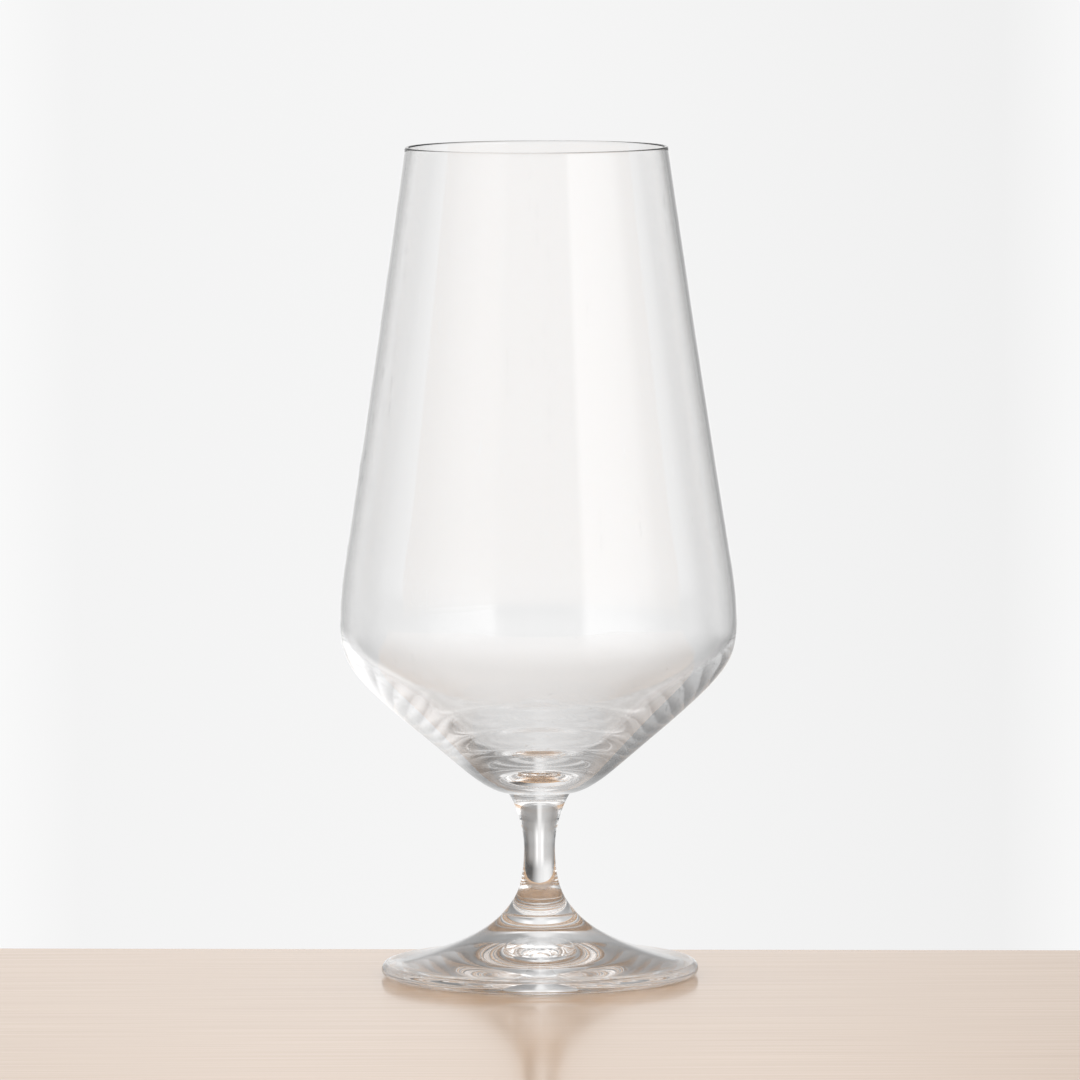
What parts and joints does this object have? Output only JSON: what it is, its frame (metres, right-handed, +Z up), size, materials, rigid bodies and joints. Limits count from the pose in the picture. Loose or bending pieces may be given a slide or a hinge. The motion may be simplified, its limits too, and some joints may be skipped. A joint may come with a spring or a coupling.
{
  "type": "stemmed beer glass",
  "caption": "Clear stemmed beer glass with a tall tapering bowl on a solid cone, a short waisted stem and a broad round foot.",
  "frame": {"origin": "centre of the flat ring on which the foot stands", "axes": "+Z up along the axis of the glass, from the foot to the rim"},
  "size_m": [0.0908, 0.0908, 0.19],
  "materials": {
    "clear_glass": "clear and colourless, fire-polished, smooth"
  },
  "bodies": {
    "root": {"bowl": "clear_glass", "stem": "clear_glass", "foot": "clear_glass"}
  },
  "joints": []
}
